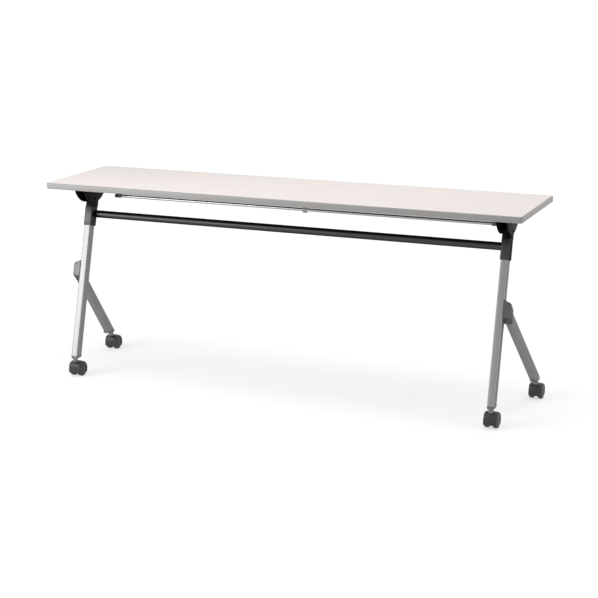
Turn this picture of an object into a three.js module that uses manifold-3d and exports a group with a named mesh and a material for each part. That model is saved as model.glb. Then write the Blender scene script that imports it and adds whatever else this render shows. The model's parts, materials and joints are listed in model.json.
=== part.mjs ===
// Flip top training table: a long narrow top that tips up on two lambda-shaped legs with twin-wheel casters.
// Millimetres. +X runs along the table, +Y away from its front edge, +Z up.
// The origin is on the floor under the middle of the top.
import * as THREE from 'three';
import { mergeVertices } from 'three/addons/utils/BufferGeometryUtils.js';
import Module from 'manifold-3d';

const wasm = await Module();
wasm.setup();

// Table top
const TOP_LENGTH = 1800;
const TOP_DEPTH = 450;
const TOP_HEIGHT = 740;
const BOARD_THICKNESS = 21.2;
const LAMINATE_THICKNESS = 0.8;
const TOP_CORNER_RADIUS = 12;
const EDGE_BAND_WIDTH = 4;
const EDGE_ROUNDING = 3;

// Clearances
const SEAT_GAP = 0.3;
const SIDE_PLAY = 0.6;

// Legs: a leaning post, and a strut that splays outwards to the rear caster
const LEG_INSET = 91.5;
const TUBE_WIDTH = 26;
const TUBE_DEPTH = 34;
const TUBE_WALL = 2;
const TUBE_CORNER = 4;
const TUBE_INNER_CORNER = 1;
const POST_FOOT_Y = -196.5;
const POST_FOOT_Z = 82;
const STRUT_TOP_OUT = 27.5;
const STRUT_JOIN = 298.6;
const STRUT_FOOT_OUT = 61.5;
const STRUT_FOOT_Y = 160;
const STRUT_FOOT_Z = 84;

// Knee block on the outer side of the post, which holds the strut and slopes along it
const KNEE_WIDTH = 28;
const KNEE_LOW = 298;
const KNEE_HIGH = 360;
const KNEE_TOP_DROP = 12;
const KNEE_BOTTOM_RISE = 2;
const KNEE_DEPTH = 34;
const KNEE_CORNER = 3;

// Head at the top of the post
const HEAD_WIDTH = 32;
const HEAD_FRONT_WALL = 2;
const HEAD_BACK_WALL = 5;
const HEAD_CORNER = 5;
const HEAD_SOCKET_DEPTH = 59;
const HEAD_LIP_OVER_SOCKET = 13.5;
const HEAD_HINGE_OVER_SOCKET = 41.3;
const HEAD_HINGE_AHEAD = 7.8;
const HEAD_LIP_DEPTH = 5;
const LUG_RADIUS = 11;
const LUG_BACK = 11;

// Stretcher between the heads
const STRETCHER_DIAMETER = 28;
const STRETCHER_WALL = 2;
const STRETCHER_BACK = 12;
const STRETCHER_DROP = 58.7;
const STRETCHER_BOSS_DIAMETER = 30;
const SPIGOT_LENGTH = 12;

// Hinge of the top
const HINGE_Y = -54;
const HINGE_DROP = 60;
const HINGE_PIN_DIAMETER = 10;
const HINGE_PIN_HEAD_DIAMETER = 16;
const HINGE_PIN_HEAD_THICKNESS = 3;
const CHEEK_THICKNESS = 3.5;
const CHEEK_RADIUS = 92;
const CHEEK_BELOW_HINGE = 11;
const BRACKET_PLATE_THICKNESS = 3;
const STOP_BAR_DEPTH = 9.7;
const STOP_BAR_HEIGHT = 8;
const BRACKET_SCREW_SPACING_X = 16;
const BRACKET_SCREW_INSET_Y = 26;

// Screws into the board
const SCREW_HEAD_DIAMETER = 9;
const SCREW_HEAD_HEIGHT = 2.6;
const SCREW_CROWN_DIAMETER = 6.3;
const SCREW_SHANK_DIAMETER = 4.2;
const SCREW_BITE = 13;

// Release: two levers joined by a bar, lifted from below to free the top
const BAR_DIAMETER = 10;
const BAR_Y = 40;
const BAR_DROP = 60;
const COUPLER_X = 20;
const COUPLER_LENGTH = 18;
const COUPLER_DIAMETER = 14;
const COUPLER_TAB_WIDTH = 8;
const COUPLER_TAB_DROP = 10;
const LEVER_INSET = 66.5;
const LEVER_THICKNESS = 6;
const LEVER_PIVOT_Y = 95;
const LEVER_PIVOT_DROP = 26;
const LEVER_EYE_RADIUS = 9;
const LEVER_ARM_HEIGHT = 12;
const LEVER_ARM_DROP = 46;
const LEVER_FOOT_LENGTH = 29;
const LEVER_FOOT_DEPTH = 14;
const LEVER_FOOT_HEIGHT = 13;
const FINGER_WIDTH = 8;
const FINGER_NOSE_BACK = 8;
const FINGER_NOSE_LENGTH = 9;
const FINGER_NOSE_GAP = 1.4;
const LEVER_PIN_DIAMETER = 6;
const LEVER_PIN_OVERHANG = 2;
const EAR_THICKNESS = 3;
const EAR_RADIUS = 9;
const LEVER_BASE_THICKNESS = 3;
const LEVER_BASE_MARGIN = 5;
const LEVER_BASE_FRONT = 14;
const LEVER_BASE_BACK = 30;
const LEVER_SCREW_BACK = 21;

// Feet and casters
const FOOT_HEIGHT = 16;
const FOOT_TIP_WIDTH = 22;
const FOOT_TIP_DEPTH = 24;
const FOOT_PLUG_HEIGHT = 24;
const WHEEL_DIAMETER = 50;
const WHEEL_WIDTH = 16;
const WHEEL_GAP = 16;
const WHEEL_RIM = 10;
const WHEEL_DISH = 1.5;
const WHEEL_EDGE = 2;
const WHEEL_FACETS = 16;
const AXLE_DIAMETER = 6;
const CASTER_TRAIL = 18;
const FRONT_STEM_Y = -205;
const REAR_STEM_Y = 178;
const STEM_DIAMETER = 10;
const STEM_LOW_Z = 44;
const STEM_HIGH_Z = 80;
const COLLAR_DIAMETER = 18;
const COLLAR_HEIGHT = 3;
const HOOD_TOP_Z = 62;
const HOOD_BOSS_DIAMETER = 21;
const HOOD_HUB_RADIUS = 12;
const HOOD_RUN_GAP = 1.3;
const HOOD_SHELL = 2.4;
const HOOD_FRONT_ANGLE = THREE.MathUtils.degToRad(20);
const HOOD_BACK_ANGLE = THREE.MathUtils.degToRad(172);
const HOOD_HUB_START = THREE.MathUtils.degToRad(215);
const HOOD_HUB_END = THREE.MathUtils.degToRad(340);

// Facets of round pieces
const ROUND_FACETS = 16;
const SMALL_FACETS = 8;
const ARC_STEPS = 14;
const HOOD_ROOM_FACETS = 28;
const CORNER_STEPS = 3;
const ROUNDING_STEPS = 2;

// Places worked out from the sizes above
const topThickness = BOARD_THICKNESS + LAMINATE_THICKNESS;
const undersideZ = TOP_HEIGHT - topThickness;
const LEG_X = TOP_LENGTH / 2 - LEG_INSET;
const HINGE_Z = undersideZ - HINGE_DROP;
const STRETCHER_Y = HINGE_Y + STRETCHER_BACK;
const STRETCHER_Z = HINGE_Z - STRETCHER_DROP;
const BAR_Z = undersideZ - BAR_DROP;
const LEVER_PIVOT_Z = undersideZ - LEVER_PIVOT_DROP;
const LEVER_ARM_LOW_Z = undersideZ - LEVER_ARM_DROP;
const FINGER_NOSE_Y = HINGE_Y + FINGER_NOSE_BACK;
const FINGER_NOSE_Z = HINGE_Z + Math.sqrt((LUG_RADIUS + FINGER_NOSE_GAP) ** 2 - FINGER_NOSE_BACK ** 2);
const plateUnderZ = undersideZ - BRACKET_PLATE_THICKNESS;
const channelWidth = HEAD_WIDTH + 2 * SEAT_GAP;
const bracketWidth = channelWidth + 2 * CHEEK_THICKNESS;
const headInnerX = LEG_X - HEAD_WIDTH / 2;
const cheekCentreZ = HINGE_Z - CHEEK_BELOW_HINGE + CHEEK_RADIUS;
const cheekReach = Math.sqrt(CHEEK_RADIUS ** 2 - (cheekCentreZ - undersideZ) ** 2);
const leverX = LEG_X - LEVER_INSET;
const axleZ = WHEEL_DIAMETER / 2;
const strutFootX = LEG_X + STRUT_FOOT_OUT;

// The post leans so that its axis passes just behind the hinge, and ends a set way below it
const hingeReachY = HINGE_Y - POST_FOOT_Y;
const hingeReachZ = HINGE_Z - POST_FOOT_Z;
const hingeReach = Math.hypot(hingeReachY, hingeReachZ);
const POST_LEAN = Math.atan2(hingeReachY, hingeReachZ) + Math.asin(HEAD_HINGE_AHEAD / hingeReach);
const POST_LENGTH = Math.sqrt(hingeReach ** 2 - HEAD_HINGE_AHEAD ** 2) - HEAD_HINGE_OVER_SOCKET;

const group = new THREE.Group();

// Finishes
function finish(color, roughness, metalness) {
  return () => new THREE.MeshStandardMaterial({ color, roughness, metalness });
}

const ivoryLaminate = finish(0xf0e8e3, 0.45, 0);
const woodChip = finish(0xb79a73, 0.85, 0);
const greyEdge = finish(0xa5a4a2, 0.5, 0);
const silverPaint = finish(0x9a9b9d, 0.4, 0.6);
const darkGrey = finish(0x6c6d70, 0.5, 0.1);
const blackPaint = finish(0x1b1b1d, 0.35, 0.3);
const steel = finish(0xc4c6c8, 0.25, 1);
const wheelPlastic = finish(0x3c3d40, 0.6, 0);

// Solids
function solid(geometry) {
  const bare = geometry.clone();
  bare.deleteAttribute('normal');
  bare.deleteAttribute('uv');
  const merged = mergeVertices(bare);
  return new wasm.Manifold(new wasm.Mesh({
    numProp: 3,
    vertProperties: new Float32Array(merged.attributes.position.array),
    triVerts: new Uint32Array(merged.index.array),
  }));
}

function geometryOf(manifold) {
  const mesh = manifold.getMesh();
  const geometry = new THREE.BufferGeometry();
  geometry.setAttribute('position', new THREE.BufferAttribute(new Float32Array(mesh.vertProperties), 3));
  geometry.setIndex(new THREE.BufferAttribute(new Uint32Array(mesh.triVerts), 1));
  return geometry;
}

function joined(...geometries) {
  const whole = geometries.map(solid).reduce((sum, next) => sum.add(next));
  return geometryOf(whole);
}

function cut(geometry, ...cutters) {
  const rest = cutters.map(solid).reduce((left, cutter) => left.subtract(cutter), solid(geometry));
  return geometryOf(rest);
}

// Shapes
function box(x0, x1, y0, y1, z0, z1) {
  const geometry = new THREE.BoxGeometry(x1 - x0, y1 - y0, z1 - z0);
  return geometry.translate((x0 + x1) / 2, (y0 + y1) / 2, (z0 + z1) / 2);
}

function roundedRectangle(x0, x1, y0, y1, radius) {
  const shape = new THREE.Shape();
  shape.absarc(x1 - radius, y1 - radius, radius, 0, Math.PI / 2);
  shape.absarc(x0 + radius, y1 - radius, radius, Math.PI / 2, Math.PI);
  shape.absarc(x0 + radius, y0 + radius, radius, Math.PI, 1.5 * Math.PI);
  shape.absarc(x1 - radius, y0 + radius, radius, 1.5 * Math.PI, 2 * Math.PI);
  return shape;
}

function polygon(points) {
  return new THREE.Shape(points.map(([a, b]) => new THREE.Vector2(a, b)));
}

function prism(shape, z0, z1, steps = CORNER_STEPS) {
  const options = { depth: z1 - z0, bevelEnabled: false, curveSegments: steps };
  return new THREE.ExtrudeGeometry(shape, options).translate(0, 0, z0);
}

const alongX = new THREE.Matrix4().makeBasis(
  new THREE.Vector3(0, 1, 0),
  new THREE.Vector3(0, 0, 1),
  new THREE.Vector3(1, 0, 0),
);

// A plate whose outline is drawn in Y and Z, between two places along X
function plate(shapeYZ, x0, x1, steps = CORNER_STEPS) {
  return prism(shapeYZ, x0, x1, steps).applyMatrix4(alongX);
}

function rodX(diameter, x0, x1, y, z, facets = ROUND_FACETS) {
  const rod = new THREE.CylinderGeometry(diameter / 2, diameter / 2, x1 - x0, facets);
  return rod.rotateZ(Math.PI / 2).translate((x0 + x1) / 2, y, z);
}

function rodZ(diameter, x, y, z0, z1, facets = ROUND_FACETS) {
  const rod = new THREE.CylinderGeometry(diameter / 2, diameter / 2, z1 - z0, facets);
  return rod.rotateX(Math.PI / 2).translate(x, y, (z0 + z1) / 2);
}

// A turned piece standing on Z, from radius and height pairs
function turned(profile, x, y, facets) {
  const points = profile.map(([radius, height]) => new THREE.Vector2(radius, height));
  return new THREE.LatheGeometry(points, facets).rotateX(Math.PI / 2).translate(x, y, 0);
}

// A solid between a lower and an upper level rectangle
function taper(lower, upper) {
  const corners = [];
  for (const { x0, x1, y0, y1, z } of [lower, upper]) {
    corners.push(x0, y0, z, x1, y0, z, x1, y1, z, x0, y1, z);
  }
  const geometry = new THREE.BufferGeometry();
  geometry.setAttribute('position', new THREE.Float32BufferAttribute(corners, 3));
  geometry.setIndex([
    0, 2, 1, 0, 3, 2, 4, 5, 6, 4, 6, 7,
    0, 1, 5, 0, 5, 4, 1, 2, 6, 1, 6, 5,
    2, 3, 7, 2, 7, 6, 3, 0, 4, 3, 4, 7,
  ]);
  return geometry;
}

function mirrored(geometry) {
  const copy = geometry.clone().scale(-1, 1, 1);
  const order = copy.index.array;
  for (let i = 0; i < order.length; i += 3) {
    const first = order[i];
    order[i] = order[i + 1];
    order[i + 1] = first;
  }
  return copy;
}

function add(name, geometry, material) {
  const mesh = new THREE.Mesh(geometry, material);
  mesh.name = name;
  group.add(mesh);
}

function addPair(name, geometry, material) {
  const right = geometryOf(solid(geometry));
  add(`${name}_right`, right, material());
  add(`${name}_left`, mirrored(right), material());
}

// Leg frame: x across, u towards the back, w up along the leaning post
const leanSin = Math.sin(POST_LEAN);
const leanCos = Math.cos(POST_LEAN);
const legFrame = new THREE.Matrix4().makeBasis(
  new THREE.Vector3(1, 0, 0),
  new THREE.Vector3(0, leanCos, -leanSin),
  new THREE.Vector3(0, leanSin, leanCos),
).setPosition(LEG_X, POST_FOOT_Y, POST_FOOT_Z);

function inLeg(geometry) {
  return geometry.applyMatrix4(legFrame);
}

function tubeShape(inset) {
  const halfWidth = TUBE_WIDTH / 2 - inset;
  const halfDepth = TUBE_DEPTH / 2 - inset;
  const corner = Math.max(TUBE_CORNER - inset, TUBE_INNER_CORNER);
  return roundedRectangle(-halfWidth, halfWidth, -halfDepth, halfDepth, corner);
}

function tube(start, end) {
  return cut(prism(tubeShape(0), start, end), prism(tubeShape(TUBE_WALL), start - 1, end + 1));
}

function below(z) {
  const reach = TOP_LENGTH + TOP_DEPTH;
  return box(-reach, reach, -reach, reach, z - reach, z);
}

// Table top: core board, decorative laminate and soft edge band
const screwPlaces = [];
for (const [label, alongY] of [['front', -1], ['back', 1]]) {
  for (const [hand, acrossX] of [['inner', -1], ['outer', 1]]) {
    screwPlaces.push({
      name: `bracket_screw_${label}_${hand}`,
      x: LEG_X + acrossX * BRACKET_SCREW_SPACING_X / 2,
      y: HINGE_Y + alongY * (cheekReach - BRACKET_SCREW_INSET_Y),
      seatZ: plateUnderZ,
    });
  }
}
const leverScrew = {
  name: 'lever_bracket_screw',
  x: leverX,
  y: LEVER_PIVOT_Y + LEVER_SCREW_BACK,
  seatZ: undersideZ - LEVER_BASE_THICKNESS,
};
screwPlaces.push(leverScrew);

function buildTop() {
  const halfLength = TOP_LENGTH / 2;
  const halfDepth = TOP_DEPTH / 2;
  const coreLength = halfLength - EDGE_BAND_WIDTH;
  const coreDepth = halfDepth - EDGE_BAND_WIDTH;
  const coreCorner = TOP_CORNER_RADIUS - EDGE_BAND_WIDTH;
  const core = roundedRectangle(-coreLength, coreLength, -coreDepth, coreDepth, coreCorner);
  const laminateZ = TOP_HEIGHT - LAMINATE_THICKNESS;

  const pilots = screwPlaces.flatMap(({ x, y }) => [-x, x].map((place) => rodZ(
    SCREW_SHANK_DIAMETER + SIDE_PLAY, place, y,
    undersideZ - 1, undersideZ + SCREW_BITE + SEAT_GAP, SMALL_FACETS,
  )));
  add('top_board', cut(prism(core, undersideZ, laminateZ), ...pilots), woodChip());
  add('top_laminate', geometryOf(solid(prism(core, laminateZ, TOP_HEIGHT))), ivoryLaminate());

  const outline = roundedRectangle(-halfLength, halfLength, -halfDepth, halfDepth, TOP_CORNER_RADIUS);
  const outer = new THREE.ExtrudeGeometry(outline, {
    depth: topThickness - 2 * EDGE_ROUNDING,
    bevelEnabled: true,
    bevelThickness: EDGE_ROUNDING,
    bevelSize: EDGE_ROUNDING,
    bevelOffset: -EDGE_ROUNDING,
    bevelSegments: ROUNDING_STEPS,
    curveSegments: CORNER_STEPS,
  }).translate(0, 0, undersideZ + EDGE_ROUNDING);
  const opening = roundedRectangle(
    -coreLength - SEAT_GAP, coreLength + SEAT_GAP,
    -coreDepth - SEAT_GAP, coreDepth + SEAT_GAP, coreCorner + SEAT_GAP,
  );
  add('edge_band', cut(outer, prism(opening, undersideZ - 1, TOP_HEIGHT + 1)), greyEdge());
}

// Pan-head screw driven up into the board
function buildScrews() {
  for (const { name, x, y, seatZ } of screwPlaces) {
    const head = SCREW_HEAD_DIAMETER / 2;
    const shank = SCREW_SHANK_DIAMETER / 2;
    const tip = undersideZ + SCREW_BITE;
    const underHead = seatZ - SEAT_GAP;
    const screw = turned([
      [0, underHead - SCREW_HEAD_HEIGHT],
      [SCREW_CROWN_DIAMETER / 2, underHead - SCREW_HEAD_HEIGHT],
      [head, underHead - SCREW_HEAD_HEIGHT / 2],
      [head, underHead],
      [shank, underHead],
      [shank, tip - shank],
      [0, tip],
    ].map(([radius, z]) => [radius, -z]).reverse(), x, -y, SMALL_FACETS).rotateX(Math.PI);
    addPair(name, screw, steel);
  }
}

// Posts, heads, knee blocks and struts
function buildLegs() {
  const post = cut(inLeg(tube(-TUBE_DEPTH, POST_LENGTH)), below(POST_FOOT_Z));
  addPair('post', post, silverPaint);

  const front = -TUBE_DEPTH / 2 - HEAD_FRONT_WALL;
  const back = TUBE_DEPTH / 2 + HEAD_BACK_WALL;
  const half = HEAD_WIDTH / 2;
  const headLow = POST_LENGTH - HEAD_SOCKET_DEPTH;
  const lip = POST_LENGTH + HEAD_LIP_OVER_SOCKET;
  const hingeHigh = POST_LENGTH + HEAD_HINGE_OVER_SOCKET;
  const seatZ = HINGE_Z - SEAT_GAP;
  const lugBack = LUG_BACK - HEAD_HINGE_AHEAD;
  const headHigh = hingeHigh + LUG_RADIUS;
  const sleeve = inLeg(prism(roundedRectangle(-half, half, front, back, HEAD_CORNER), headLow, headHigh));
  const recess = inLeg(box(-half - 1, half + 1, front - 1, lugBack, lip, headHigh + 1));
  const aboveSeat = box(
    LEG_X - half - 1, LEG_X + half + 1,
    HINGE_Y - TUBE_DEPTH, HINGE_Y + 2 * TUBE_DEPTH, seatZ, seatZ + TUBE_DEPTH,
  );
  const web = inLeg(box(-half, half, front + HEAD_LIP_DEPTH, lugBack, lip - 1, hingeHigh));
  const webTrim = box(
    LEG_X - half - 1, LEG_X + half + 1,
    HINGE_Y, HINGE_Y + 2 * TUBE_DEPTH, seatZ, seatZ + TUBE_DEPTH,
  );
  const lug = rodX(2 * LUG_RADIUS, LEG_X - half, LEG_X + half, HINGE_Y, HINGE_Z);
  const spigot = rodX(
    STRETCHER_DIAMETER - 2 * STRETCHER_WALL - 2 * SEAT_GAP,
    headInnerX - SPIGOT_LENGTH, headInnerX + 1, STRETCHER_Y, STRETCHER_Z,
  );
  const boss = rodX(STRETCHER_BOSS_DIAMETER, LEG_X - half, LEG_X + half, STRETCHER_Y, STRETCHER_Z);
  const socket = inLeg(prism(tubeShape(-SEAT_GAP), headLow - 1, POST_LENGTH + SEAT_GAP));
  const pinBore = rodX(
    HINGE_PIN_DIAMETER + SIDE_PLAY, LEG_X - half - 1, LEG_X + half + 1, HINGE_Y, HINGE_Z,
  );
  const body = joined(cut(sleeve, recess, aboveSeat), cut(web, webTrim), lug, boss, spigot);
  addPair('leg_head', cut(body, socket, pinBore), blackPaint);

  const kneeIn = TUBE_WIDTH / 2 + SEAT_GAP;
  const kneeOut = kneeIn + KNEE_WIDTH;
  const kneeFront = polygon([
    [kneeIn, KNEE_LOW],
    [kneeOut, KNEE_LOW + KNEE_BOTTOM_RISE],
    [kneeOut, KNEE_HIGH - KNEE_TOP_DROP],
    [kneeIn, KNEE_HIGH],
  ]);
  const kneeBack = -TUBE_DEPTH / 2 + KNEE_DEPTH;
  const foot = new THREE.Vector3(strutFootX, STRUT_FOOT_Y, STRUT_FOOT_Z);
  const top = new THREE.Vector3(STRUT_TOP_OUT, kneeBack, STRUT_JOIN).applyMatrix4(legFrame);
  const footInLeg = foot.clone().applyMatrix4(legFrame.clone().invert());
  const strutSlope = (footInLeg.z - STRUT_JOIN) / (footInLeg.y - kneeBack);
  const alongStrut = new THREE.Matrix4().makeShear(0, 0, 0, strutSlope, 0, 0);
  const kneeBlock = new THREE.ExtrudeGeometry(kneeFront, {
    depth: KNEE_DEPTH - 2 * KNEE_CORNER,
    bevelEnabled: true,
    bevelThickness: KNEE_CORNER,
    bevelSize: KNEE_CORNER,
    bevelOffset: -KNEE_CORNER,
    bevelSegments: ROUNDING_STEPS,
  }).rotateX(Math.PI / 2).translate(0, KNEE_DEPTH - KNEE_CORNER, 0);
  kneeBlock.applyMatrix4(alongStrut).translate(0, -TUBE_DEPTH / 2, 0);
  addPair('knee_block', inLeg(kneeBlock), darkGrey);

  const strutFrame = strutPlacement(foot, top);
  const span = foot.distanceTo(top);
  const longStrut = tube(-2 * TUBE_DEPTH, span + TUBE_DEPTH).applyMatrix4(strutFrame);
  const aheadOfKnee = inLeg(box(
    -TOP_DEPTH, TOP_DEPTH, -TOP_DEPTH, kneeBack + SEAT_GAP, -TOP_DEPTH, TOP_HEIGHT,
  ));
  addPair('strut', cut(longStrut, aheadOfKnee, below(STRUT_FOOT_Z)), silverPaint);

  const postPlug = inLeg(prism(tubeShape(TUBE_WALL + SEAT_GAP), -TUBE_DEPTH, FOOT_PLUG_HEIGHT));
  const strutPlug = prism(tubeShape(TUBE_WALL + SEAT_GAP), -2 * TUBE_DEPTH, FOOT_PLUG_HEIGHT);
  strutPlug.applyMatrix4(strutFrame);
  const strutLean = top.clone().sub(foot).normalize();
  addPair('post_foot', footCap(
    LEG_X, POST_FOOT_Y, POST_FOOT_Z, leanCos, FRONT_STEM_Y, postPlug,
  ), silverPaint);
  addPair('strut_foot', footCap(
    strutFootX, STRUT_FOOT_Y, STRUT_FOOT_Z, strutLean.z, REAR_STEM_Y, strutPlug,
  ), silverPaint);
}

// Places a tube so that it runs from foot to top with its width kept level
function strutPlacement(foot, top) {
  const run = top.clone().sub(foot).normalize();
  const depth = run.clone().cross(new THREE.Vector3(1, 0, 0)).normalize();
  const width = depth.clone().cross(run);
  return new THREE.Matrix4().makeBasis(width, depth, run).setPosition(foot);
}

// Plastic end piece: a plug in the tube, and a taper down to the caster stem
function footCap(x, tubeY, tubeZ, lean, stemY, plug) {
  const halfDepth = TUBE_DEPTH / 2 / lean;
  const capTop = tubeZ - SEAT_GAP;
  const capLow = tubeZ - FOOT_HEIGHT;
  const cap = taper(
    {
      x0: x - FOOT_TIP_WIDTH / 2,
      x1: x + FOOT_TIP_WIDTH / 2,
      y0: stemY - FOOT_TIP_DEPTH / 2,
      y1: stemY + FOOT_TIP_DEPTH / 2,
      z: capLow,
    },
    {
      x0: x - TUBE_WIDTH / 2,
      x1: x + TUBE_WIDTH / 2,
      y0: tubeY - halfDepth,
      y1: tubeY + halfDepth,
      z: capTop,
    },
  );
  const trimmedPlug = cut(plug, below(capTop - 1));
  const stemHole = rodZ(
    STEM_DIAMETER + SIDE_PLAY, x, stemY, capLow - 1, STEM_HIGH_Z + SEAT_GAP, SMALL_FACETS,
  );
  return cut(joined(cap, trimmedPlug), stemHole);
}

function buildStretcher() {
  const end = headInnerX - SEAT_GAP;
  const outer = rodX(STRETCHER_DIAMETER, -end, end, STRETCHER_Y, STRETCHER_Z);
  const bore = rodX(STRETCHER_DIAMETER - 2 * STRETCHER_WALL, -end - 1, end + 1, STRETCHER_Y, STRETCHER_Z);
  add('stretcher', cut(outer, bore), blackPaint());
}

// Hinge brackets under the top, with round cheeks on each side of the head
function buildHinges() {
  const cheekTurn = Math.asin((cheekCentreZ - undersideZ) / CHEEK_RADIUS);
  const cheek = new THREE.Shape();
  cheek.absarc(HINGE_Y, cheekCentreZ, CHEEK_RADIUS, Math.PI + cheekTurn, 2 * Math.PI - cheekTurn);
  const inner = channelWidth / 2;
  const outer = bracketWidth / 2;
  const cheekIn = plate(cheek, LEG_X - outer, LEG_X - inner, ARC_STEPS);
  const cheekOut = plate(cheek, LEG_X + inner, LEG_X + outer, ARC_STEPS);
  const base = box(
    LEG_X - outer, LEG_X + outer,
    HINGE_Y - cheekReach, HINGE_Y + cheekReach, plateUnderZ, undersideZ,
  );
  const stopFront = HINGE_Y + LUG_RADIUS + SIDE_PLAY;
  const stopBar = box(
    LEG_X - outer + 1, LEG_X + outer - 1, stopFront, stopFront + STOP_BAR_DEPTH,
    HINGE_Z, HINGE_Z + STOP_BAR_HEIGHT,
  );
  const holes = screwPlaces.filter((place) => place !== leverScrew).map(({ x, y }) => rodZ(
    SCREW_SHANK_DIAMETER + SIDE_PLAY, x, y, plateUnderZ - 1, undersideZ + 1, SMALL_FACETS,
  ));
  const pinBore = rodX(
    HINGE_PIN_DIAMETER + SIDE_PLAY, LEG_X - outer - 1, LEG_X + outer + 1, HINGE_Y, HINGE_Z,
  );
  addPair('hinge_bracket', cut(joined(base, cheekIn, cheekOut, stopBar), pinBore, ...holes), blackPaint);

  const headIn = LEG_X - outer - SEAT_GAP;
  const headOut = LEG_X + outer + SEAT_GAP;
  const pin = joined(
    rodX(HINGE_PIN_DIAMETER, headIn - 1, headOut + 1, HINGE_Y, HINGE_Z),
    rodX(HINGE_PIN_HEAD_DIAMETER, headIn - HINGE_PIN_HEAD_THICKNESS, headIn, HINGE_Y, HINGE_Z),
    rodX(HINGE_PIN_HEAD_DIAMETER, headOut, headOut + HINGE_PIN_HEAD_THICKNESS, HINGE_Y, HINGE_Z),
  );
  addPair('hinge_pin', pin, blackPaint);
}

// Release levers: an eye on a pin, an arm, a foot that holds the bar, and a finger into the hinge bracket
function buildRelease() {
  const armHigh = LEVER_ARM_LOW_Z + LEVER_ARM_HEIGHT;
  const leverIn = leverX - LEVER_THICKNESS / 2;
  const leverOut = leverX + LEVER_THICKNESS / 2;
  const legFront = BAR_Y - LEVER_FOOT_DEPTH / 2;
  const legBack = BAR_Y + LEVER_FOOT_DEPTH / 2;
  const footLow = BAR_Z - LEVER_FOOT_HEIGHT / 2;
  const footHigh = BAR_Z + LEVER_FOOT_HEIGHT / 2;
  const arm = polygon([
    [legFront, footLow],
    [legBack, footLow],
    [legBack, LEVER_ARM_LOW_Z],
    [LEVER_PIVOT_Y, LEVER_PIVOT_Z - LEVER_EYE_RADIUS],
    [LEVER_PIVOT_Y, LEVER_PIVOT_Z + LEVER_EYE_RADIUS],
    [legBack, armHigh],
    [legFront, armHigh],
  ]);
  const fingerIn = LEG_X - FINGER_WIDTH / 2;
  const fingerOut = LEG_X + FINGER_WIDTH / 2;
  const finger = polygon([
    [FINGER_NOSE_Y, FINGER_NOSE_Z],
    [FINGER_NOSE_Y + FINGER_NOSE_LENGTH, FINGER_NOSE_Z],
    [FINGER_NOSE_Y + 2 * FINGER_NOSE_LENGTH, LEVER_ARM_LOW_Z],
    [legBack, LEVER_ARM_LOW_Z],
    [legBack, armHigh],
    [FINGER_NOSE_Y, armHigh],
  ]);
  const footIn = leverX - LEVER_FOOT_LENGTH / 2;
  const barEnd = leverX + LEVER_FOOT_LENGTH / 2 - LEVER_THICKNESS;
  const lever = joined(
    plate(arm, leverIn, leverOut),
    rodX(2 * LEVER_EYE_RADIUS, leverIn, leverOut, LEVER_PIVOT_Y, LEVER_PIVOT_Z, SMALL_FACETS),
    box(footIn, footIn + LEVER_FOOT_LENGTH, legFront, legBack, footLow, footHigh),
    box(leverIn, fingerOut, legFront, legBack, LEVER_ARM_LOW_Z, armHigh),
    plate(finger, fingerIn, fingerOut),
  );
  const barSocket = rodX(
    BAR_DIAMETER + 2 * SEAT_GAP, footIn - 1, barEnd + SEAT_GAP, BAR_Y, BAR_Z, SMALL_FACETS,
  );
  const eyeBore = rodX(
    LEVER_PIN_DIAMETER + SIDE_PLAY, leverIn - 1, leverOut + 1, LEVER_PIVOT_Y, LEVER_PIVOT_Z, SMALL_FACETS,
  );
  addPair('release_lever', cut(lever, barSocket, eyeBore), darkGrey);
  add('release_bar', rodX(BAR_DIAMETER, -barEnd, barEnd, BAR_Y, BAR_Z, SMALL_FACETS), steel());

  const couplerEnd = COUPLER_X + COUPLER_LENGTH;
  const sleeve = joined(
    rodX(COUPLER_DIAMETER, COUPLER_X, couplerEnd, BAR_Y, BAR_Z, SMALL_FACETS),
    box(
      COUPLER_X, couplerEnd, BAR_Y - COUPLER_TAB_WIDTH / 2, BAR_Y + COUPLER_TAB_WIDTH / 2,
      BAR_Z - COUPLER_TAB_DROP, BAR_Z,
    ),
  );
  const sleeveBore = rodX(
    BAR_DIAMETER + 2 * SEAT_GAP, COUPLER_X - 1, couplerEnd + 1, BAR_Y, BAR_Z, SMALL_FACETS,
  );
  add('bar_coupler', cut(sleeve, sleeveBore), darkGrey());
}

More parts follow.
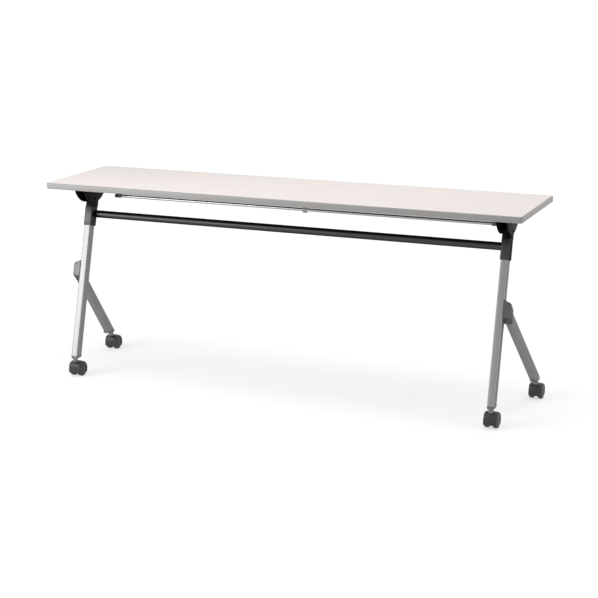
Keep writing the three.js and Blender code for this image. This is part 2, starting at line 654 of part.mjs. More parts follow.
// Lever brackets: a base under the board and two ears that hold the lever's pin
function buildLeverBrackets() {
  const earGap = LEVER_THICKNESS / 2 + SIDE_PLAY;
  const earOut = earGap + EAR_THICKNESS;
  const baseLow = undersideZ - LEVER_BASE_THICKNESS;
  const ear = new THREE.Shape();
  ear.absarc(LEVER_PIVOT_Y, LEVER_PIVOT_Z, EAR_RADIUS, Math.PI, 2 * Math.PI);
  ear.lineTo(LEVER_PIVOT_Y + EAR_RADIUS, undersideZ - 1);
  ear.lineTo(LEVER_PIVOT_Y - EAR_RADIUS, undersideZ - 1);
  const base = box(
    leverX - earOut - LEVER_BASE_MARGIN, leverX + earOut + LEVER_BASE_MARGIN,
    LEVER_PIVOT_Y - LEVER_BASE_FRONT, LEVER_PIVOT_Y + LEVER_BASE_BACK, baseLow, undersideZ,
  );
  const whole = joined(
    base,
    plate(ear, leverX - earOut, leverX - earGap, SMALL_FACETS),
    plate(ear, leverX + earGap, leverX + earOut, SMALL_FACETS),
  );
  const pinBore = rodX(
    LEVER_PIN_DIAMETER + SIDE_PLAY, leverX - earOut - 1, leverX + earOut + 1,
    LEVER_PIVOT_Y, LEVER_PIVOT_Z, SMALL_FACETS,
  );
  const screwHole = rodZ(
    SCREW_SHANK_DIAMETER + SIDE_PLAY, leverScrew.x, leverScrew.y, baseLow - 1, undersideZ + 1, SMALL_FACETS,
  );
  addPair('lever_bracket', cut(whole, pinBore, screwHole), blackPaint);
  const pinReach = earOut + LEVER_PIN_OVERHANG;
  addPair('lever_pin', rodX(
    LEVER_PIN_DIAMETER, leverX - pinReach, leverX + pinReach, LEVER_PIVOT_Y, LEVER_PIVOT_Z, SMALL_FACETS,
  ), steel);
}

// Twin-wheel casters: a fixed stem, a hood that swivels on it, an axle and two wheels
function buildCaster(place, x, stemY, footLow) {
  const axleY = stemY + CASTER_TRAIL;
  const stem = turned([
    [0, STEM_LOW_Z],
    [STEM_DIAMETER / 2, STEM_LOW_Z],
    [STEM_DIAMETER / 2, footLow - SEAT_GAP - COLLAR_HEIGHT],
    [COLLAR_DIAMETER / 2, footLow - SEAT_GAP - COLLAR_HEIGHT],
    [COLLAR_DIAMETER / 2, footLow - SEAT_GAP],
    [STEM_DIAMETER / 2, footLow - SEAT_GAP],
    [STEM_DIAMETER / 2, STEM_HIGH_Z],
    [0, STEM_HIGH_Z],
  ].map(([radius, z]) => [radius, -z]).reverse(), x, -stemY, SMALL_FACETS).rotateX(Math.PI);
  addPair(`${place}_caster_stem`, stem, steel);

  const webHalf = WHEEL_GAP / 2 - SIDE_PLAY;
  const coverHalf = WHEEL_GAP / 2 + WHEEL_WIDTH;
  const coverIn = WHEEL_DIAMETER / 2 + HOOD_RUN_GAP;
  const coverOut = coverIn + HOOD_SHELL;
  const profile = new THREE.Shape();
  profile.absarc(axleY, axleZ, HOOD_HUB_RADIUS, HOOD_HUB_START, HOOD_HUB_END);
  profile.absarc(axleY, axleZ, coverOut, HOOD_FRONT_ANGLE, HOOD_BACK_ANGLE);
  const roomIn = rodX(2 * coverIn, x - coverHalf - 1, x - webHalf, axleY, axleZ, HOOD_ROOM_FACETS);
  const roomOut = rodX(2 * coverIn, x + webHalf, x + coverHalf + 1, axleY, axleZ, HOOD_ROOM_FACETS);
  const boss = rodZ(HOOD_BOSS_DIAMETER, x, stemY, axleZ + HOOD_HUB_RADIUS, HOOD_TOP_Z);
  const body = plate(profile, x - coverHalf, x + coverHalf, ARC_STEPS);
  const hood = cut(joined(body, boss), roomIn, roomOut);
  const stemHole = rodZ(
    STEM_DIAMETER + SIDE_PLAY, x, stemY, STEM_LOW_Z - SEAT_GAP, HOOD_TOP_Z + 1,
  );
  const axleHole = rodX(
    AXLE_DIAMETER + SIDE_PLAY, x - webHalf - 1, x + webHalf + 1, axleY, axleZ, SMALL_FACETS,
  );
  addPair(`${place}_caster_hood`, cut(hood, stemHole, axleHole), wheelPlastic);
  addPair(`${place}_caster_axle`, rodX(
    AXLE_DIAMETER, x - coverHalf + WHEEL_EDGE, x + coverHalf - WHEEL_EDGE, axleY, axleZ, SMALL_FACETS,
  ), steel);

  const wheel = wheelBlank();
  const out = wheel.clone().translate(x + WHEEL_GAP / 2, axleY, axleZ);
  const inside = wheel.clone().rotateZ(Math.PI).translate(x - WHEEL_GAP / 2, axleY, axleZ);
  addPair(`${place}_wheel_outer`, out, wheelPlastic);
  addPair(`${place}_wheel_inner`, inside, wheelPlastic);
}

// Wheel lying along +X from its inner face, with a flat facet underneath and a dished outer side
function wheelBlank() {
  const tread = WHEEL_DIAMETER / 2 / Math.cos(Math.PI / WHEEL_FACETS);
  const bore = AXLE_DIAMETER / 2 + SEAT_GAP;
  const dish = WHEEL_WIDTH - WHEEL_DISH;
  const rim = tread - WHEEL_RIM;
  const profile = [
    [bore, 0],
    [tread - WHEEL_EDGE, 0],
    [tread, WHEEL_EDGE],
    [tread, WHEEL_WIDTH - WHEEL_EDGE],
    [tread - WHEEL_EDGE, WHEEL_WIDTH],
    [rim, WHEEL_WIDTH],
    [rim - WHEEL_DISH, dish],
    [bore, dish],
    [bore, 0],
  ];
  const points = profile.map(([radius, along]) => new THREE.Vector2(radius, along));
  const wheel = new THREE.LatheGeometry(points, WHEEL_FACETS);
  return wheel.rotateY(Math.PI / WHEEL_FACETS).rotateZ(-Math.PI / 2);
}

buildTop();
buildScrews();
buildLegs();
buildStretcher();
buildHinges();
buildRelease();
buildLeverBrackets();
buildCaster('front', LEG_X, FRONT_STEM_Y, POST_FOOT_Z - FOOT_HEIGHT);
buildCaster('rear', strutFootX, REAR_STEM_Y, STRUT_FOOT_Z - FOOT_HEIGHT);

export default group;
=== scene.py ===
"""Looks of a flip top training table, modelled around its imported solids.

Metres. +X runs along the table, +Y away from its front edge, +Z up, with the origin on the floor.
Paired pieces are modelled at the right end, at +X, and mirrored to the left.
"""

import json
import logging
import math
from collections.abc import Callable, Iterable
from dataclasses import dataclass
from enum import Enum

import bmesh
import bpy
from mathutils import Color, Matrix, Vector

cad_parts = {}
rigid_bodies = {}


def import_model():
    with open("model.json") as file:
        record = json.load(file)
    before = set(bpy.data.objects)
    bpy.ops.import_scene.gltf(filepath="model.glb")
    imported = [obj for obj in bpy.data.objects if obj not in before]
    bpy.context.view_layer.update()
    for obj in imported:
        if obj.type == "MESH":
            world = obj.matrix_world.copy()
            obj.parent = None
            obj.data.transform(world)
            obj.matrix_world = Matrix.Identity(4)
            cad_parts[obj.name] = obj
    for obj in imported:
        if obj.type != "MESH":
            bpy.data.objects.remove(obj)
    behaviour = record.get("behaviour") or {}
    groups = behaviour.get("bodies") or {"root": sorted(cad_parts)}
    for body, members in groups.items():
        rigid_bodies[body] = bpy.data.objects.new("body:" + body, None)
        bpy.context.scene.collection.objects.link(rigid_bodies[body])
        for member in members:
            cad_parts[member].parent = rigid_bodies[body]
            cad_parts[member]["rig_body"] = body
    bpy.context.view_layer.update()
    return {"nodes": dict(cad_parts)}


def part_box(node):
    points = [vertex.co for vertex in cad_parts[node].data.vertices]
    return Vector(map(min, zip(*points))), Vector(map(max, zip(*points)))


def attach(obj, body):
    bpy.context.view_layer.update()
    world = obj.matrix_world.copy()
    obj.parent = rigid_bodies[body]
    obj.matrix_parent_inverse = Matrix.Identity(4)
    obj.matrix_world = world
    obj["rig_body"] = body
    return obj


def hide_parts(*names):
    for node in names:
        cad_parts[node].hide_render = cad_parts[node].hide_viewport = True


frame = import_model()

SHARP_ANGLE = math.radians(35)
# Shorter edges are dissolved before a piece is made.
LEAST_EDGE = 2e-6
# Places closer than this count as one.
SAME_PLACE = 1e-6
# Facets across a small rounding, and across a round corner.
RIM_STEPS = 2
CORNER_STEPS = 6
FULL_TURN = 2 * math.pi
DISPLAY_WHITE = 255
WHITE = (1.0, 1.0, 1.0, 1.0)
X_AXIS = Vector((1, 0, 0))
Y_AXIS = Vector((0, 1, 0))
Z_AXIS = Vector((0, 0, 1))

log = logging.getLogger("training_table")

Mesh = bmesh.types.BMesh
Vert = bmesh.types.BMVert
Edge = bmesh.types.BMEdge
Face = bmesh.types.BMFace
Socket = bpy.types.NodeSocket
Point = tuple[float, float]
Inputs = dict[str | int, object]


class Named(Enum):
    """A choice whose name stands in the names of nodes and pieces."""

    @property
    def word(self) -> str:
        """The choice in small letters."""
        return self.name.lower()


class Side(Named):
    """The end of the table that a paired piece belongs to."""

    RIGHT = 1
    LEFT = -1


class Row(Named):
    """The casters under the posts, or those under the struts."""

    FRONT = 1
    REAR = 2


class Twin(Named):
    """A wheel of a twin caster, by the way that it faces at the right end."""

    OUTER = 1
    INNER = -1


class Slot(Enum):
    """The record's material slots."""

    LAMINATE = "laminate"
    CORE = "core_board"
    BAND = "edge_band"
    SILVER = "silver_paint"
    GREY_PLASTIC = "grey_plastic"
    GREY_CASTING = "grey_casting"
    BLACK = "black_paint"
    STEEL = "plated_steel"
    WHEEL = "wheel_plastic"


class Grain(Enum):
    """How a finish varies over the surface."""

    CLOUDY = "cloudy"
    DRAWN = "drawn"
    CHIPS = "chips"


class Shading:
    """The node tree of a material or a world."""

    def __init__(self, owner: bpy.types.Material | bpy.types.World) -> None:
        """Switches the nodes on.

        Args:
            owner: The material or world.
        """
        owner.use_nodes = True
        self.nodes = owner.node_tree.nodes
        self.links = owner.node_tree.links

    def fill(self, node: bpy.types.Node, inputs: Inputs) -> None:
        """Sets a node's inputs.

        Args:
            node: The node.
            inputs: A plain value for each input, or the socket that feeds it.
        """
        for name, value in inputs.items():
            if isinstance(value, Socket):
                self.links.new(value, node.inputs[name])
            else:
                node.inputs[name].default_value = value

    def add(self, kind: str, output: str, inputs: Inputs, **settings: str) -> Socket:
        """Adds a node.

        Args:
            kind: Its type, without the prefix that all shader nodes have.
            output: The output that is wanted.
            inputs: What its inputs hold, as for fill.
            settings: Its other properties, such as an operation.

        Returns:
            The output's socket.
        """
        node = self.nodes.new("ShaderNode" + kind)
        for name, value in settings.items():
            setattr(node, name, value)
        self.fill(node, inputs)
        return node.outputs[output]


@dataclass(frozen=True)
class Finish:
    """A surface made of shader nodes on object coordinates.

    Colours are display levels from 0 to 255. Scales are in features per metre.
    """

    name: str
    color: tuple[int, int, int]
    slot: Slot
    roughness: float
    metallic: float = 0.0
    specular: float = 0.5
    edge_tint: float = 1.0
    grain: Grain = Grain.CLOUDY
    tone_swing: float = 0.05
    tone_scale: float = 40.0
    tone_detail: float = 5.0
    drawn_stretch: tuple[float, float, float] = (0.02, 1.0, 1.0)
    bump_scale: float = 1200.0
    bump_depth: float = 0.00006
    bump_detail: float = 2.0
    roughness_swing: float = 0.06

    def shade(self, factor: float) -> tuple[float, ...]:
        """The linear colour, made lighter or darker.

        Args:
            factor: 1 for the colour as written.

        Returns:
            Red, green, blue and alpha.
        """
        display = Color([part / DISPLAY_WHITE for part in self.color])
        light = display.from_srgb_to_scene_linear()
        return *(min(1.0, part * factor) for part in light), 1.0

    def material(self) -> bpy.types.Material:
        """The node material of this finish, made once.

        Returns:
            The material.
        """
        known = bpy.data.materials.get(self.name)
        if known:
            return known
        made = bpy.data.materials.new(self.name)
        tree = Shading(made)
        coords = tree.add("TexCoord", "Object", {})
        tones = {
            "A": self.shade(1 - self.tone_swing),
            "B": self.shade(1 + self.tone_swing),
            "Factor": self._pattern(tree, coords),
        }
        fine = tree.add("TexNoise", "Fac", {
            "Vector": coords, "Scale": self.bump_scale, "Detail": self.bump_detail,
        })
        wear = {
            "Value": fine,
            "To Min": self.roughness - self.roughness_swing,
            "To Max": self.roughness + self.roughness_swing,
        }
        tree.fill(tree.nodes["Principled BSDF"], {
            "Metallic": self.metallic,
            "Specular IOR Level": self.specular,
            "Specular Tint": (*(self.edge_tint,) * 3, 1.0),
            "Base Color": tree.add("Mix", "Result", tones, data_type="RGBA"),
            "Roughness": tree.add("MapRange", "Result", wear),
            "Normal": tree.add("Bump", "Normal", {"Height": fine, "Distance": self.bump_depth}),
        })
        return made

    def _pattern(self, tree: Shading, coords: Socket) -> Socket:
        """Adds the texture that swings the tone.

        Args:
            tree: The material's nodes.
            coords: Object coordinates.

        Returns:
            A socket from 0 to 1.
        """
        if self.grain is Grain.CHIPS:
            chips = tree.add("TexVoronoi", "Color", {"Vector": coords, "Scale": self.tone_scale})
            return tree.add("SeparateColor", "Red", {"Color": chips})
        if self.grain is Grain.DRAWN:
            coords = tree.add("Mapping", "Vector", {"Vector": coords, "Scale": self.drawn_stretch})
        return tree.add("TexNoise", "Fac", {
            "Vector": coords, "Scale": self.tone_scale, "Detail": self.tone_detail,
        })


LAMINATE = Finish(
    "ivory_laminate", (245, 236, 231), Slot.LAMINATE, 0.42,
    tone_swing=0.025, tone_scale=60.0, bump_scale=1500.0, bump_depth=0.00002,
)
BACKING = Finish(
    "backing_sheet", (96, 90, 84), Slot.CORE, 0.7,
    grain=Grain.CHIPS, tone_scale=260.0, bump_scale=600.0, bump_depth=0.00004,
)
BAND = Finish(
    "grey_edge_band", (162, 161, 159), Slot.BAND, 0.38,
    tone_swing=0.03, tone_scale=25.0, bump_scale=700.0, bump_depth=0.00004,
)
SILVER = Finish(
    "silver_powder_coat", (147, 146, 147), Slot.SILVER, 0.36, metallic=0.55, specular=0.15,
    edge_tint=0.3, tone_scale=700.0, bump_scale=1100.0, bump_depth=0.00005,
)
CASTING = Finish(
    "grey_casting_paint", (94, 94, 96), Slot.GREY_CASTING, 0.37, metallic=0.72, specular=0.15,
    edge_tint=0.4, tone_swing=0.06, tone_scale=400.0, bump_scale=700.0, bump_depth=0.00008,
)
CAP_PLASTIC = Finish(
    "grey_cap_plastic", (112, 113, 115), Slot.GREY_PLASTIC, 0.48,
    tone_scale=30.0, bump_scale=1300.0,
)
BLACK = Finish(
    "black_powder_coat", (62, 62, 63), Slot.BLACK, 0.36, metallic=1.0, edge_tint=0.35,
    tone_swing=0.12, tone_scale=120.0, bump_scale=1000.0, bump_depth=0.00004,
)
# Matt black plate for the cheeks, pins and yokes. On the head's lug and web the same near-black, darker
# than the head's own paint, is painted shade between the cheeks.
BLACK_PLATE_AND_SHADE = Finish(
    "matt_black_plate", (17, 17, 18), Slot.BLACK, 0.5, specular=0.05,
    tone_swing=0.12, tone_scale=150.0,
)
STEEL = Finish(
    "drawn_bar_plating", (176, 176, 178), Slot.STEEL, 0.22, metallic=1.0, edge_tint=0.6,
    grain=Grain.DRAWN, tone_scale=500.0, bump_depth=0.00001,
)
STEM_STEEL = Finish(
    "stem_steel", (118, 118, 120), Slot.STEEL, 0.4, metallic=0.8,
    tone_swing=0.06, tone_scale=300.0, bump_depth=0.00002,
)
SLEEVE_PLASTIC = Finish("pale_sleeve_plastic", (196, 196, 198), Slot.GREY_PLASTIC, 0.45)
LEVER_PLASTIC = Finish("grey_lever_plastic", (84, 84, 86), Slot.GREY_PLASTIC, 0.4)
WHEEL_PLASTIC = Finish(
    "dark_wheel_plastic", (28, 28, 31), Slot.WHEEL, 0.4,
    tone_swing=0.08, tone_scale=90.0, bump_scale=1400.0, bump_depth=0.00005,
)
HOOD_PLASTIC = Finish(
    "dark_hood_plastic", (37, 37, 40), Slot.WHEEL, 0.46,
    tone_swing=0.08, tone_scale=70.0, bump_scale=1600.0, bump_depth=0.00007,
)


def extent(node: str) -> tuple[Vector, Vector]:
    """The middle of a CAD node's box, and half the box's size."""
    low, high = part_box(node)
    return (low + high) / 2, (high - low) / 2


def outward(bm: Mesh) -> Mesh:
    """Turns the faces of a closed mesh outwards and gives the mesh back."""
    bmesh.ops.recalc_face_normals(bm, faces=bm.faces[:])
    return bm


def soften(bm: Mesh, edges: Iterable[Edge], radius: float, steps: int = RIM_STEPS) -> None:
    """Rounds edges with a circular bevel that reaches as far as the radius from each."""
    bmesh.ops.bevel(
        bm, geom=list(edges), offset=radius, offset_type="OFFSET", segments=steps,
        profile=0.5, affect="EDGES", material=-1, clamp_overlap=True,
    )


def sharp_edges(bm: Mesh) -> list[Edge]:
    """The edges at which the surface turns sharply."""
    bm.normal_update()
    return [edge for edge in bm.edges if edge.is_manifold and edge.calc_face_angle(0) > SHARP_ANGLE]


def across(edges: Iterable[Edge], axis: Vector) -> list[Edge]:
    """Those edges that run square to an axis, such as the rims of a piece that stands along it."""
    ends = [(edge, edge.verts[0].co - edge.verts[1].co) for edge in edges]
    return [edge for edge, run in ends if abs(run.dot(axis)) < SAME_PLACE]


def raised(bm: Mesh, face: Face, way: Vector) -> None:
    """Extrudes a flat face into a closed solid.

    Args:
        bm: The mesh.
        face: The face to start from, which stays.
        way: The extrusion's direction and length.
    """
    grown = bmesh.ops.extrude_face_region(bm, geom=[face], use_keep_orig=True)
    moved = [item for item in grown["geom"] if isinstance(item, Vert)]
    bmesh.ops.translate(bm, vec=way, verts=moved)
    outward(bm)


def flat_face(bm: Mesh, corners: Iterable[Iterable[float]]) -> Face:
    """A flat face from its corners, given in order round it."""
    return bm.faces.new([bm.verts.new(corner) for corner in corners])


def rounded_face(
    bm: Mesh, low: Point, high: Point, level: float, radius: float, steps: int = CORNER_STEPS,
) -> Face:
    """A level rectangle with round corners.

    Args:
        bm: The mesh.
        low: The corner with the lowest X and Y.
        high: The corner with the highest X and Y.
        level: Its height.
        radius: The corners' radius.
        steps: Steps across a corner.

    Returns:
        The face.
    """
    (x0, y0), (x1, y1) = low, high
    face = flat_face(bm, [(x0, y0, level), (x1, y0, level), (x1, y1, level), (x0, y1, level)])
    bmesh.ops.bevel(
        bm, geom=face.verts[:], offset=radius, offset_type="OFFSET", segments=steps,
        profile=0.5, affect="VERTICES", material=-1, clamp_overlap=True,
    )
    bm.faces.ensure_lookup_table()
    return bm.faces[-1]


def slab(
    low: Vector, high: Vector, corner: float, edge: float,
    edge_steps: int = RIM_STEPS, corner_steps: int = CORNER_STEPS,
) -> Mesh:
    """An upright block with round corners and softened rims.

    Args:
        low: Its lowest corner.
        high: Its highest corner.
        corner: The radius of its upright corners.
        edge: The rounding of its upper and lower rim.
        edge_steps: Steps across a rim's rounding.
        corner_steps: Steps across a corner.

    Returns:
        The new mesh.
    """
    bm = bmesh.new()
    face = rounded_face(bm, low.xy, high.xy, low.z, corner, corner_steps)
    raised(bm, face, Z_AXIS * (high.z - low.z))
    soften(bm, across(sharp_edges(bm), Z_AXIS), edge, edge_steps)
    return bm


def block(bm: Mesh, low: Iterable[float], high: Iterable[float], radius: float) -> None:
    """Adds a box with rounded edges.

    Args:
        bm: The mesh to add to.
        low: The lowest corner.
        high: The highest corner.
        radius: The rounding of its edges.
    """
    bottom, top = Vector(low), Vector(high)
    place = Matrix.Translation((bottom + top) / 2) @ Matrix.Diagonal((*(top - bottom), 1))
    made = bmesh.ops.create_cube(bm, size=1, matrix=place)
    soften(bm, {edge for vert in made["verts"] for edge in vert.link_edges}, radius)


def prism_x(outline: Iterable[Point], low: float, high: float, radius: float) -> Mesh:
    """A plate drawn in Y and Z and extruded along X, with softened rims.

    Args:
        outline: Points in order round the plate.
        low: Its lowest X.
        high: Its highest X.
        radius: The rounding of its rims.

    Returns:
        The new mesh.
    """
    bm = bmesh.new()
    raised(bm, flat_face(bm, [(low, y, z) for y, z in outline]), X_AXIS * (high - low))
    soften(bm, across(bm.edges, X_AXIS), radius)
    return bm


def turned(
    profile: Iterable[Point], centre: Vector, axis: Vector, steps: int,
    arc: float = FULL_TURN, start: float = 0.0,
) -> Mesh:
    """A piece of revolution about X or Z.

    Args:
        profile: Pairs of distance along the axis and radius, in order.
        centre: A point on the axis, where the distance is 0.
        axis: The axis' direction.
        steps: Facets round the piece.
        arc: How far it turns, in radians.
        start: The angle at which it starts.

    Returns:
        The new mesh, closed where the profile ends on the axis.
    """
    bm = bmesh.new()
    # About X the angle counts from +Y, as the hood's angles do.
    zero = Y_AXIS if axis == X_AXIS else axis.orthogonal().normalized()
    out = Matrix.Rotation(start, 3, axis) @ zero
    verts = [bm.verts.new(centre + axis * place + out * radius) for place, radius in profile]
    edges = [bm.edges.new(pair) for pair in zip(verts, verts[1:])]
    bmesh.ops.spin(
        bm, geom=verts + edges, cent=centre, axis=axis, angle=arc, steps=steps,
        use_merge=math.isclose(arc, FULL_TURN), use_duplicate=False,
    )
    bmesh.ops.remove_doubles(bm, verts=bm.verts[:], dist=SAME_PLACE)
    return outward(bm)


def two_ended(end: list[Point]) -> list[Point]:
    """A turned piece's profile that ends on both sides as the given side does."""
    return end + [(-place, radius) for place, radius in reversed(end)]


def rod(centre: Vector, half: float, radius: float, edge: float, steps: int) -> Mesh:
    """A round rod along X with broken ends."""
    end = [(half, 0), (half, radius - edge), (half - edge, radius)]
    return turned(two_ended(end), centre, X_AXIS, steps)


def arc_points(centre: Point, radius: float, start: float, end: float, steps: int) -> list[Point]:
    """Points along an arc in a plane between two angles in radians, both ends among them."""
    angles = [start + (end - start) * step / steps for step in range(steps + 1)]
    return [
        (centre[0] + radius * math.cos(angle), centre[1] + radius * math.sin(angle))
        for angle in angles
    ]


def gather(target: Mesh, *others: Mesh) -> Mesh:
    """Puts further shells into a mesh and frees them.

    Args:
        target: The mesh that grows.
        others: The shells to add.

    Returns:
        The target.
    """
    for other in others:
        carrier = bpy.data.meshes.new("carrier")
        other.to_mesh(carrier)
        target.from_mesh(carrier)
        bpy.data.meshes.remove(carrier)
        other.free()
    return target


def moved_by(bm: Mesh, place: Matrix) -> Mesh:
    """Moves a whole mesh and gives it back."""
    bmesh.ops.transform(bm, matrix=place, verts=bm.verts[:])
    return bm


def make_piece(bm: Mesh, name: str, node: str, finish: Finish) -> None:
    """Turns a mesh into a dressed piece that stands for a CAD node and rides on its body.

    Args:
        bm: The mesh, which is freed.
        name: The piece's name.
        node: The CAD node that it replaces.
        finish: Its finish.
    """
    bmesh.ops.dissolve_degenerate(bm, dist=LEAST_EDGE, edges=bm.edges[:])
    mesh = bpy.data.meshes.new(name)
    bm.to_mesh(mesh)
    bm.free()
    mesh.shade_smooth()
    mesh.set_sharp_from_angle(angle=SHARP_ANGLE)
    mesh.materials.append(finish.material())
    piece = bpy.data.objects.new(name, mesh)
    bpy.context.scene.collection.objects.link(piece)
    body = frame["nodes"][node]["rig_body"]
    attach(piece, body)
    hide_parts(node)
    log.info("%s on %s for %s, %d faces", name, body, node, len(mesh.polygons))


def make_pair(build: Callable[[], Mesh], name: str, node: str, finish: Finish) -> None:
    """Makes a piece for the right end and its mirror image for the left.

    Args:
        build: Makes the right-hand mesh.
        name: The piece's name without its side.
        node: The CAD node's name without its side.
        finish: Its finish.
    """
    for side in Side:
        bm = build()
        if side is Side.LEFT:
            bmesh.ops.scale(bm, vec=(-1, 1, 1), verts=bm.verts[:])
            outward(bm)
        make_piece(bm, f"{name}_{side.word}", f"{node}_{side.word}", finish)


@dataclass
class TableTop:
    """The laminated board and the soft band round it."""

    corner: float = 0.012
    corner_steps: int = 10
    band_width: float = 0.004
    band_rounding: float = 0.003
    band_steps: int = 5
    laminate_edge: float = 0.0003

    def build(self) -> None:
        """Makes the laminate, the board and the band."""
        make_piece(self._panel("top_laminate"), "laminate_sheet", "top_laminate", LAMINATE)
        make_piece(self._panel("top_board"), "core_panel", "top_board", BACKING)
        make_piece(self._band(), "edge_trim", "edge_band", BAND)

    def _panel(self, node: str) -> Mesh:
        """A flat panel the size of a node, inside the band."""
        corner = self.corner - self.band_width
        return slab(*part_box(node), corner, self.laminate_edge, corner_steps=self.corner_steps)

    def _band(self) -> Mesh:
        """The band as a ring with rounded outer edges.

        Returns:
            The mesh.
        """
        bm = slab(
            *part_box("edge_band"), self.corner, self.band_rounding, self.band_steps, self.corner_steps,
        )
        # The ring's hole joins the broad faces above and below.
        broad = sorted(bm.faces, key=Face.calc_area)[-2:]
        inset = self.band_width - self.band_rounding
        bmesh.ops.inset_individual(bm, faces=broad, thickness=inset, use_even_offset=True)
        rims = [edge for face in broad for edge in face.edges]
        bmesh.ops.delete(bm, geom=broad, context="FACES_ONLY")
        bmesh.ops.bridge_loops(bm, edges=rims)
        return outward(bm)


@dataclass
class PanScrews:
    """Pan-head screws with a hexagon socket, driven up into the board.

    The curve of a head is given in shares of its height and radius.
    """

    head_radius: float = 0.0045
    head_height: float = 0.0026
    head_curve: tuple[Point, ...] = ((0.18, 0.86), (0.5, 0.98), (1.0, 1.0))
    head_over_shank: float = 2.2
    crown_over_socket: float = 1.6
    socket_radius: float = 0.0016
    socket_depth: float = 0.0015
    socket_sides: int = 6
    steps: int = 24

    def build(self) -> None:
        """Makes each screw at its node."""
        for node in sorted(frame["nodes"]):
            if "screw" in node:
                make_piece(self._screw(node), f"pan_{node}", node, STEEL)

    def _screw(self, node: str) -> Mesh:
        """One screw, from the lowest point of its head up to its tip.

        Args:
            node: The CAD node.

        Returns:
            The mesh.
        """
        middle, half = extent(node)
        base = middle - Z_AXIS * half.z
        length = 2 * half.z
        shank = self.head_radius / self.head_over_shank
        crown = self.socket_radius * self.crown_over_socket
        curve = [(self.head_height * rise, self.head_radius * reach) for rise, reach in self.head_curve]
        profile = [(0, crown), *curve, (self.head_height, shank), (length - shank, shank), (length, 0)]
        bm = turned(profile, base, Z_AXIS, self.steps)
        rim = [edge for edge in bm.edges if edge.is_boundary]
        face = bmesh.ops.contextual_create(bm, geom=rim)["faces"][0]
        bmesh.ops.inset_individual(bm, faces=[face], thickness=crown - self.socket_radius)
        # The ring in the crown is pulled in to the flats of the socket.
        sector = FULL_TURN / self.socket_sides
        for vert in face.verts:
            arm = vert.co - base
            turn = math.atan2(arm.y, arm.x) % sector - sector / 2
            reach = self.socket_radius * math.cos(sector / 2) / math.cos(turn)
            vert.co = base + arm.normalized() * reach
        raised(bm, face, Z_AXIS * self.socket_depth)
        bmesh.ops.delete(bm, geom=[face], context="FACES_ONLY")
        return outward(bm)


@dataclass
class Hinges:
    """The brackets that carry the top, and the pins that they turn on.

    The dome of a pin head is given in shares of its height and radius.
    """

    hinge_y: float = -0.054
    hinge_drop: float = 0.060
    cheek_radius: float = 0.092
    cheek_below_hinge: float = 0.011
    cheek_steps: int = 40
    cheek_thick: float = 0.0035
    plate_thick: float = 0.003
    stop_front: float = -0.0424
    stop_depth: float = 0.0097
    stop_height: float = 0.008
    slot_half: float = 0.0055
    edge: float = 0.0009
    pin_head_radius: float = 0.008
    pin_radius: float = 0.005
    pin_play: float = 0.0003
    pin_dome: tuple[Point, ...] = (
        (0.5, 0.0), (0.52, 0.4), (0.6, 0.72), (0.74, 0.92), (0.9, 1.0), (1.0, 1.0),
    )
    pin_steps: int = 28

    def build(self) -> None:
        """Makes the two brackets and the two pins."""
        make_pair(self._bracket, "hinge_channel", "hinge_bracket", BLACK_PLATE_AND_SHADE)
        make_pair(self._pin, "hinge_rivet", "hinge_pin", BLACK_PLATE_AND_SHADE)

    def _outline(self, under: float) -> list[Point]:
        """The round side of a cheek, cut off by the board's underside.

        Args:
            under: The height of the board's underside.

        Returns:
            Points in Y and Z.
        """
        middle = under - self.hinge_drop - self.cheek_below_hinge + self.cheek_radius
        turn = math.asin((middle - under) / self.cheek_radius)
        first, last = math.pi + turn, FULL_TURN - turn
        return arc_points((self.hinge_y, middle), self.cheek_radius, first, last, self.cheek_steps)

    def _bracket(self) -> Mesh:
        """The channel of plate and cheeks, with its stop bar and the uprights beside the slot.

        Returns:
            The right-hand mesh.
        """
        low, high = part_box("hinge_bracket_right")
        under = high.z
        side = self._outline(under)
        bm = prism_x(side, low.x, low.x + self.cheek_thick, self.edge)
        gather(bm, prism_x(side, high.x - self.cheek_thick, high.x, self.edge))
        block(bm, (low.x, low.y, under - self.plate_thick), high, self.edge)
        inner, outer = low.x + self.cheek_thick / 2, high.x - self.cheek_thick / 2
        front, back = self.stop_front, self.stop_front + self.stop_depth
        pivot = under - self.hinge_drop
        block(bm, (inner, front, pivot), (outer, back, pivot + self.stop_height), self.edge)
        # The uprights close the gap beside the lever's finger.
        middle = (low.x + high.x) / 2
        for near, far in ((inner, middle - self.slot_half), (middle + self.slot_half, outer)):
            foot = (near, front + self.edge, pivot + self.edge)
            block(bm, foot, (far, back - self.edge, under - self.edge), self.edge)
        return bm

    def _pin(self) -> Mesh:
        """A pin with a low domed head at each end.

        Returns:
            The right-hand mesh.
        """
        middle, half = extent("hinge_pin_right")
        cheek_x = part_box("hinge_bracket_right")[1].x
        thick = half.x - (cheek_x - middle.x) - self.pin_play
        head = [(thick * share - half.x, self.pin_head_radius * size) for share, size in self.pin_dome]
        head.append((thick - half.x, self.pin_radius))
        return turned(two_ended(head), middle, X_AXIS, self.pin_steps)


